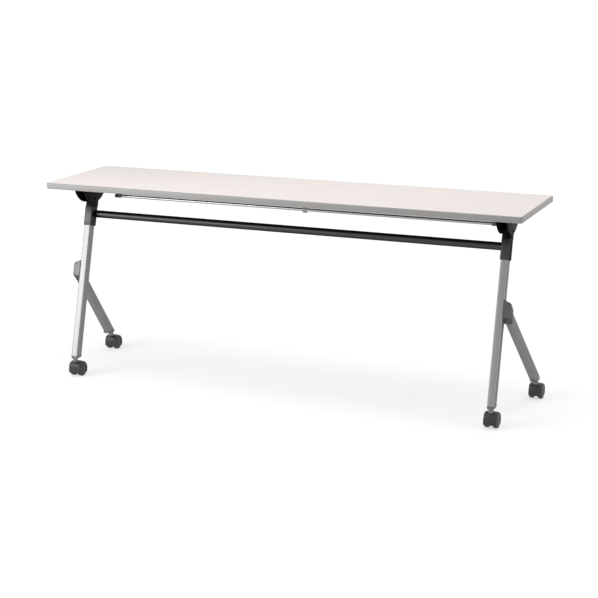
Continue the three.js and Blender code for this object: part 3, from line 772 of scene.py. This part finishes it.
@dataclass
class Legs:
    """Posts, heads, knee blocks, struts and their end caps.

    Knee and head are given in the leaning frame of the post, from the middle of its foot.
    """

    tube_width: float = 0.026
    tube_depth: float = 0.034
    tube_corner: float = 0.004
    foot_y: float = -0.1965
    foot_z: float = 0.082
    strut_out: float = 0.0275
    strut_join: float = 0.2986
    strut_foot: Vector = Vector((0.870, 0.160, 0.084))
    knee_width: float = 0.028
    knee_low: float = 0.298
    knee_high: float = 0.360
    knee_drop: float = 0.012
    knee_rise: float = 0.002
    knee_corner: float = 0.005
    knee_edge: float = 0.0018
    knee_edge_steps: int = 3
    head_width: float = 0.032
    head_front: float = -0.019
    head_back: float = 0.022
    head_corner: float = 0.0045
    head_socket: float = 0.059
    head_lip: float = 0.0135
    lip_depth: float = 0.005
    hinge_over_socket: float = 0.0413
    hinge_ahead: float = 0.0078
    lug_radius: float = 0.011
    lug_steps: int = 28
    boss_radius: float = 0.015
    boss_steps: int = 40
    gap: float = 0.0003
    edge: float = 0.0007
    cap_height: float = 0.011
    cap_band: float = 0.0055
    cap_proud: float = 0.0003
    cap_tip: Point = (0.019, 0.021)
    cap_steps: int = 8
    front_stem_y: float = -0.205
    rear_stem_y: float = 0.178

    def __post_init__(self) -> None:
        """Works out the frames of the right post and strut from the hinge."""
        pin, _ = extent("hinge_pin_right")
        self.foot = Vector((pin.x, self.foot_y, self.foot_z))
        reach = (pin - self.foot).yz
        self.lean = math.atan2(reach.x, reach.y) + math.asin(self.hinge_ahead / reach.length)
        hinge_height = math.sqrt(reach.length_squared - self.hinge_ahead ** 2)
        self.post_length = hinge_height - self.hinge_over_socket
        self.leg = Matrix.Translation(self.foot) @ Matrix.Rotation(-self.lean, 4, "X")
        top = self.leg @ Vector((self.strut_out, self.tube_depth / 2, self.strut_join))
        self.strut_length = (top - self.strut_foot).length
        run = (top - self.strut_foot).normalized()
        depth = run.cross(X_AXIS).normalized()
        turn = Matrix((depth.cross(run), depth, run)).transposed().to_4x4()
        self.strut = Matrix.Translation(self.strut_foot) @ turn

    def build(self) -> None:
        """Makes every piece of both legs."""
        make_pair(self._post, "post_tube", "post", SILVER)
        make_pair(self._strut, "strut_tube", "strut", SILVER)
        make_pair(self._knee, "knee_casting", "knee_block", CASTING)
        make_pair(self._head, "head_casting", "leg_head", BLACK)
        # The lug and web take the near-black matt finish, darker than the head's paint, as painted
        # shade in the recess between the cheeks.
        make_pair(self._lug, "head_lug", "leg_head", BLACK_PLATE_AND_SHADE)
        make_pair(self._post_cap, "post_cap", "post_foot", CAP_PLASTIC)
        make_pair(self._strut_cap, "strut_cap", "strut_foot", CAP_PLASTIC)

    def _tube(self, low: float, high: float, place: Matrix) -> Mesh:
        """A length of the rounded tube.

        Args:
            low: Its lower end.
            high: Its upper end.
            place: The frame along whose Z it stands.

        Returns:
            The mesh.
        """
        bm = bmesh.new()
        half = Vector((self.tube_width, self.tube_depth)) / 2
        raised(bm, rounded_face(bm, -half, half, low, self.tube_corner), Z_AXIS * (high - low))
        return moved_by(bm, place)

    def _cut_off(self, bm: Mesh, place: Vector, away: Vector) -> Mesh:
        """Cuts a mesh by a plane and closes the cut.

        Args:
            bm: The mesh.
            place: A point on the plane.
            away: The side that is taken off.

        Returns:
            The same mesh.
        """
        whole = bm.verts[:] + bm.edges[:] + bm.faces[:]
        made = bmesh.ops.bisect_plane(bm, geom=whole, plane_co=place, plane_no=away, clear_outer=True)
        rim = [item for item in made["geom_cut"] if isinstance(item, Edge)]
        bmesh.ops.contextual_create(bm, geom=rim)
        return outward(bm)

    def _post(self) -> Mesh:
        """The leaning post, cut level at its foot."""
        bm = self._tube(-self.tube_depth, self.post_length, self.leg)
        return self._cut_off(bm, self.foot, -Z_AXIS)

    def _strut(self) -> Mesh:
        """The splayed strut, cut along the knee block and level at its foot.

        Returns:
            The right-hand mesh.
        """
        bm = self._tube(-2 * self.tube_depth, self.strut_length + self.tube_depth, self.strut)
        behind = self.leg @ (Y_AXIS * (self.tube_depth / 2 + self.gap))
        self._cut_off(bm, behind, self.leg.to_3x3() @ -Y_AXIS)
        return self._cut_off(bm, self.strut_foot, -Z_AXIS)

    def _knee(self) -> Mesh:
        """The casting between post and strut, which slopes back along the strut.

        Returns:
            The right-hand mesh.
        """
        inner = self.tube_width / 2 + self.gap
        outer = inner + self.knee_width
        half = self.tube_depth / 2
        bm = bmesh.new()
        face = flat_face(bm, [
            (inner, -half, self.knee_low),
            (outer, -half, self.knee_low + self.knee_rise),
            (outer, -half, self.knee_high - self.knee_drop),
            (inner, -half, self.knee_high),
        ])
        foot = self.leg.inverted() @ self.strut_foot
        fall = (foot.z - self.strut_join) / (foot.y - half)
        raised(bm, face, Vector((0, self.tube_depth, fall * self.tube_depth)))
        least = outer - SAME_PLACE
        outside = [edge for edge in bm.edges if min(vert.co.x for vert in edge.verts) > least]
        soften(bm, outside, self.knee_corner, CORNER_STEPS)
        least = inner + SAME_PLACE
        away = [edge for edge in sharp_edges(bm) if max(vert.co.x for vert in edge.verts) > least]
        soften(bm, away, self.knee_edge, self.knee_edge_steps)
        return moved_by(bm, self.leg)

    def _head(self) -> Mesh:
        """The sleeve over the post, up to its lip, with the stretcher's boss.

        Returns:
            The right-hand mesh.
        """
        half = self.head_width / 2
        low = Vector((-half, self.head_front, self.post_length - self.head_socket))
        high = Vector((half, self.head_back, self.post_length + self.head_lip))
        bm = moved_by(slab(low, high, self.head_corner, self.edge), self.leg)
        boss_half = (half - self.edge) / 2
        centre, _ = extent("stretcher")
        centre.x = self.foot.x - boss_half
        return gather(bm, rod(centre, boss_half, self.boss_radius, self.edge, self.boss_steps))

    def _lug(self) -> Mesh:
        """The hinge lug over the sleeve, with its web and its level seat.

        Returns:
            The right-hand mesh.
        """
        low = self.post_length + self.head_lip - self.edge
        hinge = (-self.hinge_ahead, self.post_length + self.hinge_over_socket)
        web = self.head_front + self.lip_depth
        web_turn = math.acos((web - hinge[0]) / self.lug_radius)
        seat_turn = self.lean - self.gap / self.lug_radius
        lug = arc_points(hinge, self.lug_radius, FULL_TURN - web_turn, seat_turn, self.lug_steps)
        depth, height = lug[-1]
        seat = height + (self.head_back - depth) * math.tan(self.lean)
        side = [(web, low), *lug, (self.head_back, seat), (self.head_back, low)]
        half = self.head_width / 2
        return moved_by(prism_x(side, -half, half, self.edge), self.leg)

    def _cap(self, middle: Vector, lean: float, stem_y: float) -> Mesh:
        """An end cap with a proud band, rounded off towards the caster's stem.

        Args:
            middle: The middle of the tube's level end.
            lean: The cosine of the tube's lean, which lengthens its level cut.
            stem_y: Where the stem stands.

        Returns:
            The mesh.
        """
        bm = bmesh.new()
        half = Vector((self.tube_width, self.tube_depth / lean)) / 2
        half += Vector((self.cap_proud, self.cap_proud))
        top = middle.z - self.gap
        face = rounded_face(bm, middle.xy - half, middle.xy + half, top, self.tube_corner)
        depth = self.cap_height - self.gap
        raised(bm, face, -Z_AXIS * depth)
        taper = depth - self.cap_band
        for step in range(self.cap_steps):
            level = Z_AXIS * (top - self.cap_band - taper * step / self.cap_steps)
            whole = bm.verts[:] + bm.edges[:] + bm.faces[:]
            bmesh.ops.bisect_plane(bm, geom=whole, plane_co=level, plane_no=Z_AXIS)
        # Below the band the outline shrinks along a quarter ellipse, and shifts to the stem.
        tip = Vector((middle.x, stem_y))
        for vert in bm.verts:
            share = max(0.0, (top - vert.co.z - self.cap_band) / taper)
            pull = 1 - math.sqrt(max(0.0, 1 - share ** 2))
            size = half.lerp(Vector(self.cap_tip) / 2, pull)
            offset = vert.co.xy - middle.xy
            spread = Vector((offset.x * size.x / half.x, offset.y * size.y / half.y))
            vert.co.xy = middle.xy.lerp(tip, pull) + spread
        soften(bm, across(sharp_edges(bm), Z_AXIS), self.edge)
        return bm

    def _post_cap(self) -> Mesh:
        """The cap under the post."""
        return self._cap(self.foot, math.cos(self.lean), self.front_stem_y)

    def _strut_cap(self) -> Mesh:
        """The cap under the strut."""
        return self._cap(self.strut_foot, self.strut.col[2].z, self.rear_stem_y)


@dataclass
class Stretcher:
    """The round tube between the heads."""

    edge: float = 0.0008
    steps: int = 48

    def build(self) -> None:
        """Makes the tube with broken ends."""
        middle, half = extent("stretcher")
        make_piece(rod(middle, half.x, half.z, self.edge, self.steps), "cross_tube", "stretcher", BLACK)


@dataclass
class Release:
    """The bar under the top, its levers and the brackets that carry them.

    Drops are measured from the board's underside.
    """

    edge: float = 0.0008
    bar_lift: float = 0.0012
    bar_grow: float = 0.001
    bar_steps: int = 28
    sleeve_steps: int = 36
    tab_width: float = 0.008
    lever_thick: float = 0.006
    lever_inset: float = 0.0665
    foot_length: float = 0.029
    foot_depth: float = 0.014
    foot_height: float = 0.0136
    foot_corner: float = 0.003
    pivot_y: float = 0.095
    pivot_drop: float = 0.026
    arm_drop: float = 0.046
    arm_height: float = 0.012
    eye_radius: float = 0.009
    eye_steps: int = 14
    finger_width: float = 0.008
    nose_y: float = -0.046
    nose_length: float = 0.009
    nose_drop: float = 0.0505
    inset: float = 0.0003
    ear_thick: float = 0.003
    ear_play: float = 0.0006
    ear_steps: int = 18
    base_thick: float = 0.003
    pin_dome: Point = (0.3, 0.7)
    pin_steps: int = 20

    def __post_init__(self) -> None:
        """Takes the places that it hangs from out of the frame."""
        low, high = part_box("hinge_bracket_right")
        self.under = high.z
        self.leg_x = (low.x + high.x) / 2
        self.lever_x = self.leg_x - self.lever_inset
        self.pivot = (self.pivot_y, self.under - self.pivot_drop)
        self.bar, self.bar_half = extent("release_bar")
        self.bar.z += self.bar_lift
        self.bar_radius = self.bar_half.z + self.bar_grow

    def build(self) -> None:
        """Makes the bar, its coupler, the levers, brackets and pins."""
        make_piece(self._bar(), "lift_bar", "release_bar", STEEL)
        make_piece(self._coupler(), "bar_sleeve", "bar_coupler", SLEEVE_PLASTIC)
        make_pair(self._lever, "lift_lever", "release_lever", LEVER_PLASTIC)
        make_pair(self._yoke, "lever_yoke", "lever_bracket", BLACK_PLATE_AND_SHADE)
        make_pair(self._pin, "lever_rivet", "lever_pin", STEEL)

    def _bar(self) -> Mesh:
        """A drawn round bar with broken ends."""
        return rod(self.bar, self.bar_half.x, self.bar_radius, self.edge, self.bar_steps)

    def _coupler(self) -> Mesh:
        """A sleeve on the bar with a tab under it.

        Returns:
            The mesh.
        """
        box_middle, half = extent("bar_coupler")
        middle = Vector((box_middle.x, *self.bar.yz))
        inner = self.bar_radius + self.inset
        end = [(half.x, inner), (half.x, half.y - self.edge), (half.x - self.edge, half.y)]
        bm = turned([*two_ended(end), end[0]], middle, X_AXIS, self.sleeve_steps)
        tab = Vector((half.x - self.inset, self.tab_width / 2, 0))
        low = Vector((*(middle - tab).xy, box_middle.z - half.z))
        block(bm, low, middle + tab - Z_AXIS * inner, self.edge)
        return bm

    def _lever(self) -> Mesh:
        """A lever of eye, arm, foot on the bar, and finger into the hinge.

        Returns:
            The right-hand mesh.
        """
        front = self.bar.y - self.foot_depth / 2
        back = self.bar.y + self.foot_depth / 2
        foot_low = self.bar.z - self.foot_height / 2
        arm_low = self.under - self.arm_drop
        arm_high = arm_low + self.arm_height
        near, far = front + self.inset, back - self.inset
        shin = foot_low + self.inset
        eye = arc_points(self.pivot, self.eye_radius, -math.pi / 2, math.pi / 2, self.eye_steps)
        arm = [(near, shin), (far, shin), (far, arm_low), *eye, (far, arm_high), (near, arm_high)]
        half = self.lever_thick / 2
        bm = prism_x(arm, self.lever_x - half, self.lever_x + half, self.edge)
        nose = self.under - self.nose_drop
        finger = [
            (self.nose_y, nose), (self.nose_y + self.nose_length, nose),
            (self.nose_y + 2 * self.nose_length, arm_low), (back, arm_low), (back, arm_high),
            (self.nose_y, arm_high),
        ]
        reach = self.leg_x + self.finger_width / 2
        gather(bm, prism_x(finger, reach - self.finger_width, reach, self.edge))
        block(
            bm, (self.lever_x, near + self.inset, arm_low + self.inset),
            (reach - self.inset, far - self.inset, arm_high - self.inset), self.edge,
        )
        block(
            bm, (self.lever_x - self.foot_length / 2, front, foot_low),
            (self.lever_x + self.foot_length / 2, back, foot_low + self.foot_height), self.foot_corner,
        )
        return bm

    def _yoke(self) -> Mesh:
        """A base plate with two ears.

        Returns:
            The right-hand mesh.
        """
        low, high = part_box("lever_bracket_right")
        ear = arc_points(self.pivot, self.eye_radius, math.pi, FULL_TURN, self.ear_steps)
        ear += [(self.pivot_y + way * self.eye_radius, self.under - self.edge) for way in (1, -1)]
        near = self.lever_thick / 2 + self.ear_play
        far = near + self.ear_thick
        bm = prism_x(ear, self.lever_x - far, self.lever_x - near, self.edge)
        gather(bm, prism_x(ear, self.lever_x + near, self.lever_x + far, self.edge))
        block(bm, (low.x, low.y, self.under - self.base_thick), (high.x, high.y, self.under), self.edge)
        return bm

    def _pin(self) -> Mesh:
        """A short pin with domed ends.

        Returns:
            The right-hand mesh.
        """
        middle, half = extent("lever_pin_right")
        drop, reach = self.edge * self.pin_dome[0], half.z * self.pin_dome[1]
        end = [(half.x, 0), (half.x - drop, reach), (half.x - self.edge, half.z)]
        return turned(two_ended(end), middle, X_AXIS, self.pin_steps)


@dataclass
class Caster:
    """A twin-wheel caster: hood, stem, axle and two wheels.

    The tread and the hub cap are drawn from the wheel's inner or outer face: a tread's pair is the
    distance from that face and the drop below the tread, and a hub cap's the distance and a radius.
    """

    row: Row
    stem_y: float
    tube_end: float
    trail: float = 0.018
    wheel_radius: float = 0.025
    wheel_width: float = 0.016
    wheel_gap: float = 0.016
    wheel_steps: int = 56
    tread_inside: tuple[Point, ...] = (
        (0.0, 0.0030), (0.0006, 0.0014), (0.0018, 0.0004), (0.0036, 0.0),
    )
    tread_outside: tuple[Point, ...] = (
        (0.0042, 0.0), (0.0022, 0.0006), (0.0008, 0.0022), (0.0, 0.0042),
        (0.0, 0.0068), (0.0007, 0.0076), (0.0007, 0.0090), (0.0016, 0.0100),
    )
    hub_cap: tuple[Point, ...] = (
        (0.0018, 0.0078), (0.0010, 0.0070), (0.0004, 0.0054), (0.0001, 0.0028), (0.0, 0.0),
    )
    hood_inner: float = 0.0257
    hood_rim: float = 0.0008
    hood_back: float = math.radians(-35)
    hood_front: float = math.radians(200)
    hood_top: float = 0.058
    hood_steps: int = 36
    dome_back: float = 0.0276
    dome_front: float = 0.0295
    dome_crest: float = 0.033
    dome_plain: float = 2.0
    dome_square: float = 3.8
    dome_side: float = 0.45
    dome_round: float = 2.4
    dome_thin: float = math.radians(40)
    dome_steps: int = 16
    dome_turns: int = 40
    hub_radius: float = 0.0145
    boss_radius: float = 0.0088
    neck_radius: float = 0.0072
    neck_step: float = 0.0505
    bore_radius: float = 0.0033
    bore_play: float = 0.0003
    side_play: float = 0.0006
    stem_radius: float = 0.005
    stem_steps: int = 24
    axle_steps: int = 20
    collar_radius: float = 0.0085
    edge: float = 0.0008

    def __post_init__(self) -> None:
        """Finds the stem's axis and the axle in the frame."""
        middle, half = extent(f"{self.row.word}_caster_stem_right")
        self.stem_low, self.stem_high = middle.z - half.z, middle.z + half.z
        self.stem = Vector((middle.x, self.stem_y, 0))
        self.axle = Vector((middle.x, self.stem_y + self.trail, self.wheel_radius))
        self.axle_middle, self.axle_half = extent(f"{self.row.word}_caster_axle_right")

    def build(self) -> None:
        """Makes the caster at both ends of the table."""
        row = self.row.word
        make_pair(self._hood, f"{row}_hood_shell", f"{row}_caster_hood", HOOD_PLASTIC)
        make_pair(self._stem, f"{row}_stem_rod", f"{row}_caster_stem", STEM_STEEL)
        make_pair(self._axle, f"{row}_axle_rod", f"{row}_caster_axle", STEEL)
        for twin in Twin:
            name, node = f"{row}_{twin.word}_tyre", f"{row}_wheel_{twin.word}"
            make_pair(lambda: self._wheel(twin), name, node, WHEEL_PLASTIC)

    def _hood(self) -> Mesh:
        """The dome over the wheels, the web between them, and the neck for the stem.

        Returns:
            The right-hand mesh.
        """
        web = self.wheel_gap / 2 - self.side_play
        fan = self._sector([-web, web], self.hub_radius / 2, self.hood_inner + self.hood_rim)
        disc = two_ended([(-web, 0), (-web, self.hub_radius)])
        hub = turned(disc, self.axle, X_AXIS, self.hood_steps)
        for shell in (fan, hub):
            soften(shell, sharp_edges(shell), self.edge)
        neck = [
            (self.axle.z, 0), (self.axle.z, self.neck_radius), (self.neck_step, self.neck_radius),
            (self.neck_step, self.boss_radius), (self.hood_top - self.edge, self.boss_radius),
            (self.hood_top, self.boss_radius - self.edge), (self.hood_top, 0),
        ]
        return gather(self._dome(), fan, hub, turned(neck, self.stem, Z_AXIS, self.hood_steps))

    def _sector(self, places: list[float], inner: float, outer: float) -> Mesh:
        """Part of a ring about the axle.

        Args:
            places: Where its outer side has a line, from the caster's middle.
            inner: Its inner radius.
            outer: Its outer radius.

        Returns:
            The closed mesh.
        """
        low, high = places[0], places[-1]
        profile = [(low, inner), *((place, outer) for place in places), (high, inner), (low, inner)]
        arc = self.hood_front - self.hood_back
        bm = turned(profile, self.axle, X_AXIS, self.dome_turns, arc, self.hood_back)
        bmesh.ops.holes_fill(bm, edges=[edge for edge in bm.edges if edge.is_boundary], sides=0)
        return outward(bm)

    def _dome(self) -> Mesh:
        """The shell over both wheels, squarer in front and thin at its rims.

        Returns:
            The mesh.
        """
        half = self.wheel_gap / 2 + self.wheel_width
        turns = [math.pi * (step / self.dome_steps - 0.5) for step in range(self.dome_steps + 1)]
        rim = self.hood_inner + self.hood_rim
        bm = self._sector([half * math.sin(turn) for turn in turns], self.hood_inner, rim)
        # The plain outer wall swells to the dome, less at its sides and towards its back rim.
        for vert in bm.verts:
            arm = vert.co.yz - self.axle.yz
            if arm.length > self.hood_inner + self.hood_rim / 2:
                share = min(1.0, abs(vert.co.x - self.axle.x) / half)
                swell = (1 - share ** self.dome_round) ** (1 / self.dome_round)
                swell = self.dome_side + (1 - self.dome_side) * swell
                if arm.x > 0:
                    swell *= min(1.0, (math.atan2(arm.y, arm.x) - self.hood_back) / self.dome_thin)
                reach = rim + (self._outline(arm.normalized()) - rim) * swell
                vert.co.yz = self.axle.yz + arm.normalized() * reach
        return bm

    def _outline(self, way: Vector) -> float:
        """How far the dome's side view reaches from the axle.

        Args:
            way: A unit vector in Y and Z.

        Returns:
            The distance.
        """
        ahead = way.x < 0
        power = self.dome_square if ahead and way.y > 0 else self.dome_plain
        level = self.dome_front if ahead else self.dome_back
        height = self.dome_crest if way.y > 0 else level
        return (abs(way.x / level) ** power + abs(way.y / height) ** power) ** (-1 / power)

    def _stem(self) -> Mesh:
        """The fixed stem with its collar between hood and cap.

        Returns:
            The right-hand mesh.
        """
        top = self.tube_end - Legs.cap_height - Legs.gap
        low = self.hood_top + Legs.gap
        edge = self.edge / 2
        profile = [
            (self.stem_low, 0), (self.stem_low, self.stem_radius), (low, self.stem_radius),
            (low, self.collar_radius - edge), (low + edge, self.collar_radius),
            (top - edge, self.collar_radius), (top, self.collar_radius - edge),
            (top, self.stem_radius), (self.stem_high - self.edge, self.stem_radius),
            (self.stem_high, self.stem_radius - self.edge), (self.stem_high, 0),
        ]
        return turned(profile, self.stem, Z_AXIS, self.stem_steps)

    def _axle(self) -> Mesh:
        """The axle with broken ends."""
        half = self.axle_half
        return rod(self.axle_middle, half.x, half.z, self.edge, self.axle_steps)

    def _wheel(self, twin: Twin) -> Mesh:
        """A wheel with a rounded tread, a stepped rim, a hub cap and a blind bore for the axle.

        Args:
            twin: Which wheel of the caster.

        Returns:
            The right-hand mesh.
        """
        width, tread = self.wheel_width, self.wheel_radius
        depth = self.axle_half.x - self.wheel_gap / 2 + self.bore_play
        profile = [(depth, 0), (depth, self.bore_radius), (0, self.bore_radius)]
        profile += [(place, tread - drop) for place, drop in self.tread_inside]
        profile += [(width - place, tread - drop) for place, drop in self.tread_outside]
        profile += [(width - place, radius) for place, radius in self.hub_cap]
        start = self.axle + X_AXIS * (twin.value * self.wheel_gap / 2)
        facing = [(twin.value * place, radius) for place, radius in profile]
        return turned(facing, start, X_AXIS, self.wheel_steps)


@dataclass(frozen=True)
class Softbox:
    """A rectangular soft lamp, with its power in watts."""

    name: str
    place: Vector
    aim: Vector
    size: Point
    power: float

    def build(self) -> None:
        """Makes the lamp and points it at its aim."""
        lamp = bpy.data.lights.new(self.name, "AREA")
        lamp.shape = "RECTANGLE"
        lamp.size, lamp.size_y = self.size
        lamp.energy = self.power
        holder = bpy.data.objects.new(self.name, lamp)
        holder.location = self.place
        holder.rotation_euler = (self.aim - self.place).to_track_quat("-Z", "Y").to_euler()
        bpy.context.scene.collection.objects.link(holder)


SOFTBOXES = (
    Softbox("key_softbox", Vector((-2.3, -2.5, 1.05)), Vector((-0.6, -0.1, 0.45)), (2.2, 1.5), 57),
    Softbox("top_softbox", Vector((0.35, -0.2, 3.0)), Vector((0.25, 0.0, 0.0)), (3.2, 1.6), 32),
    Softbox("edge_strip", Vector((3.8, -0.85, 0.75)), Vector((0.8, -0.1, 0.4)), (0.16, 1.4), 14),
)


@dataclass
class Studio:
    """Plain floor, soft light and the camera.

    The floor's glow is given near and far, as pairs of distance from its middle and strength.
    """

    floor_size: float = 60.0
    floor_level: float = -0.0005
    floor_tone: float = 0.6
    floor_roughness: float = 0.9
    floor_specular: float = 0.1
    floor_near: Point = (1.0, 0.6)
    floor_far: Point = (4.0, 0.76)
    sky_level: float = 0.42
    camera_place: Vector = Vector((2.0527, -4.918, 1.6471))
    camera_yaw: float = math.radians(22.438)
    camera_pitch: float = math.radians(12.266)
    lens: float = 90.05
    sensor: float = 36.0
    shift: float = -0.0702

    def build(self) -> None:
        """Sets up the floor, the world, the lamps and the camera."""
        self._floor()
        self._world()
        for softbox in SOFTBOXES:
            softbox.build()
        self._camera()
        bpy.context.scene.view_settings.view_transform = "Standard"

    def _floor(self) -> None:
        """A pale floor that shows white to the camera and keeps the shadow."""
        bm = bmesh.new()
        bmesh.ops.create_grid(bm, x_segments=1, y_segments=1, size=self.floor_size / 2)
        bmesh.ops.translate(bm, vec=Z_AXIS * self.floor_level, verts=bm.verts[:])
        mesh = bpy.data.meshes.new("floor")
        bm.to_mesh(mesh)
        bm.free()
        floor = bpy.data.objects.new("floor", mesh)
        bpy.context.scene.collection.objects.link(floor)
        made = bpy.data.materials.new("white_floor")
        mesh.materials.append(made)
        tree = Shading(made)
        paint = tree.nodes["Principled BSDF"]
        tree.fill(paint, {
            "Base Color": (*(self.floor_tone,) * 3, 1.0),
            "Roughness": self.floor_roughness,
            "Specular IOR Level": self.floor_specular,
        })
        # A glow that only the camera and reflections see lifts the floor to white.
        coords = tree.add("TexCoord", "Object", {})
        reach = tree.add("VectorMath", "Value", {0: coords}, operation="LENGTH")
        (near, near_glow), (far, far_glow) = self.floor_near, self.floor_far
        fade = tree.add("MapRange", "Result", {
            "Value": reach, "From Min": near, "To Min": near_glow, "From Max": far, "To Max": far_glow,
        }, interpolation_type="SMOOTHSTEP")
        shown = tree.add("Math", "Value", {0: self._seen(tree), 1: fade}, operation="MULTIPLY")
        glow = tree.add("Emission", "Emission", {"Strength": shown})
        both = tree.add("AddShader", "Shader", {0: paint.outputs["BSDF"], 1: glow})
        tree.fill(tree.nodes["Material Output"], {"Surface": both})

    def _seen(self, tree: Shading) -> Socket:
        """A socket that is 1 for camera, glossy and transmission rays, and else 0.

        Args:
            tree: The nodes to add to.

        Returns:
            The socket.
        """
        path = tree.nodes.new("ShaderNodeLightPath").outputs
        seen = path["Is Camera Ray"]
        for kind in ("Is Glossy Ray", "Is Transmission Ray"):
            seen = tree.add("Math", "Value", {0: seen, 1: path[kind]}, operation="MAXIMUM")
        return seen

    def _world(self) -> None:
        """A pale sky that lights softly and shows white."""
        world = bpy.data.worlds.new("studio")
        bpy.context.scene.world = world
        tree = Shading(world)
        levels = {0: self._seen(tree), 1: 1 - self.sky_level, 2: self.sky_level}
        strength = tree.add("Math", "Value", levels, operation="MULTIPLY_ADD")
        tree.fill(tree.nodes["Background"], {"Color": WHITE, "Strength": strength})

    def _camera(self) -> None:
        """The camera at the photograph's viewing angle."""
        camera = bpy.data.cameras.new("camera")
        camera.lens = self.lens
        camera.sensor_width = self.sensor
        camera.shift_y = self.shift
        holder = bpy.data.objects.new("camera", camera)
        holder.location = self.camera_place
        holder.rotation_euler = (math.pi / 2 - self.camera_pitch, 0, self.camera_yaw)
        bpy.context.scene.collection.objects.link(holder)
        bpy.context.scene.camera = holder


def main() -> None:
    """Builds the studio and every sub-assembly in order."""
    logging.basicConfig(level=logging.INFO, format="%(name)s: %(message)s")
    Studio().build()
    TableTop().build()
    PanScrews().build()
    Hinges().build()
    Legs().build()
    Stretcher().build()
    Release().build()
    Caster(Row.FRONT, Legs.front_stem_y, Legs.foot_z).build()
    Caster(Row.REAR, Legs.rear_stem_y, Legs.strut_foot.z).build()


if __name__ == "__main__":
    main()
